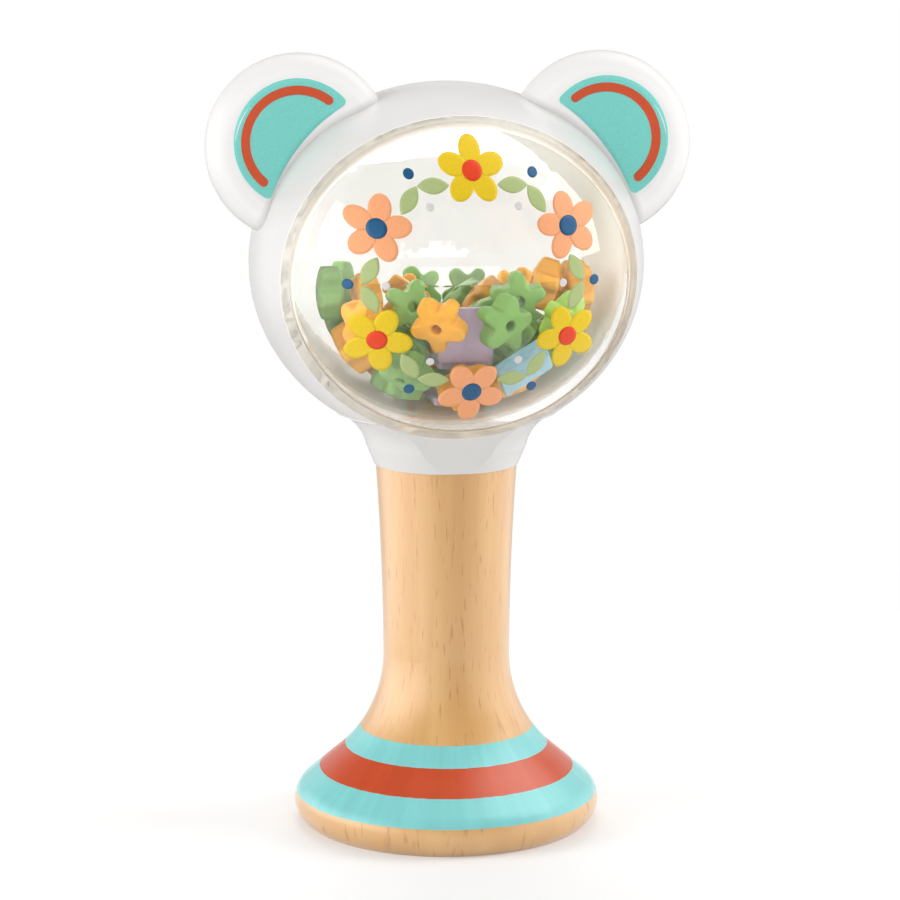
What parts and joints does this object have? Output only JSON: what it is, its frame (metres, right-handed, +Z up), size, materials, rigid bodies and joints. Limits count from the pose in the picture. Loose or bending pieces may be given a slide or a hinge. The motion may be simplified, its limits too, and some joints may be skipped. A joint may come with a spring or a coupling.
{
  "type": "hand rattle",
  "caption": "Baby hand rattle with a turned beech handle, a round white head with two ears, and a clear domed window that shows loose stars and tiles.",
  "frame": {"origin": "middle of the flat base the rattle stands on", "axes": "+Z up along the handle, +Y from the clear dome to the back of the head, +X to the right as the dome is looked at"},
  "size_m": [0.0868, 0.0708, 0.1407],
  "materials": {
    "beech": "fine turned beech, satin, with painted rings at the base",
    "white_shell": "moulded white, smooth gloss",
    "clear_shell": "clear moulded plastic, polished, the front one printed",
    "steel": "plain zinc-plated screw",
    "star_green": "moulded mid green",
    "star_lime": "moulded lime",
    "star_orange": "moulded orange",
    "tile_blue": "moulded light blue",
    "tile_violet": "moulded violet"
  },
  "bodies": {
    "rattle": {"handle": "beech", "head_ring": "white_shell", "clear_dome": "clear_shell", "rear_cover": "clear_shell", "neck_screw": "steel"},
    "front_fill": {"front_fill_01": "star_orange", "front_fill_02": "star_green", "front_fill_03": "star_orange", "front_fill_04": "tile_blue", "front_fill_05": "star_lime", "front_fill_06": "star_orange", "front_fill_07": "star_green", "front_fill_08": "star_green", "front_fill_09": "tile_violet", "front_fill_10": "star_green"},
    "wall_fill": {"wall_fill_01": "star_green", "wall_fill_02": "star_orange", "wall_fill_03": "star_green", "wall_fill_04": "tile_violet", "wall_fill_05": "star_orange", "wall_fill_06": "star_green", "wall_fill_07": "star_orange", "wall_fill_08": "star_green", "wall_fill_09": "star_orange", "wall_fill_10": "star_green", "wall_fill_11": "star_lime", "wall_fill_12": "star_green", "wall_fill_13": "star_orange", "wall_fill_14": "tile_violet", "wall_fill_15": "star_green", "wall_fill_16": "star_orange", "wall_fill_17": "star_green", "wall_fill_18": "star_green"},
    "core_fill": {"core_fill_01": "star_orange", "core_fill_02": "star_green", "core_fill_03": "tile_violet", "core_fill_04": "star_green", "core_fill_05": "star_orange", "core_fill_06": "star_orange", "core_fill_07": "star_green", "core_fill_08": "star_lime", "core_fill_09": "star_green", "core_fill_10": "star_green", "core_fill_11": "star_orange", "core_fill_12": "star_green", "core_fill_13": "star_lime", "core_fill_14": "star_green", "core_fill_15": "star_green", "core_fill_16": "star_orange", "core_fill_17": "star_orange", "core_fill_18": "star_green"},
    "rear_fill": {"rear_fill_01": "star_green", "rear_fill_02": "star_orange", "rear_fill_03": "star_lime", "rear_fill_04": "star_green", "rear_fill_05": "star_orange", "rear_fill_06": "star_green", "rear_fill_07": "star_orange", "rear_fill_08": "star_green"}
  },
  "joints": [
    {"name": "front_fill_roll", "type": "hinge", "parent": "rattle", "child": "front_fill", "pos_m": [0, 0, 0.1029], "axis": [0, 1, 0], "continuous": true},
    {"name": "wall_fill_roll", "type": "hinge", "parent": "rattle", "child": "wall_fill", "pos_m": [0, 0, 0.1029], "axis": [0, 1, 0], "continuous": true},
    {"name": "core_fill_roll", "type": "hinge", "parent": "rattle", "child": "core_fill", "pos_m": [0, 0, 0.1029], "axis": [0, 1, 0], "continuous": true},
    {"name": "rear_fill_roll", "type": "hinge", "parent": "rattle", "child": "rear_fill", "pos_m": [0, 0, 0.1029], "axis": [0, 1, 0], "continuous": true}
  ]
}
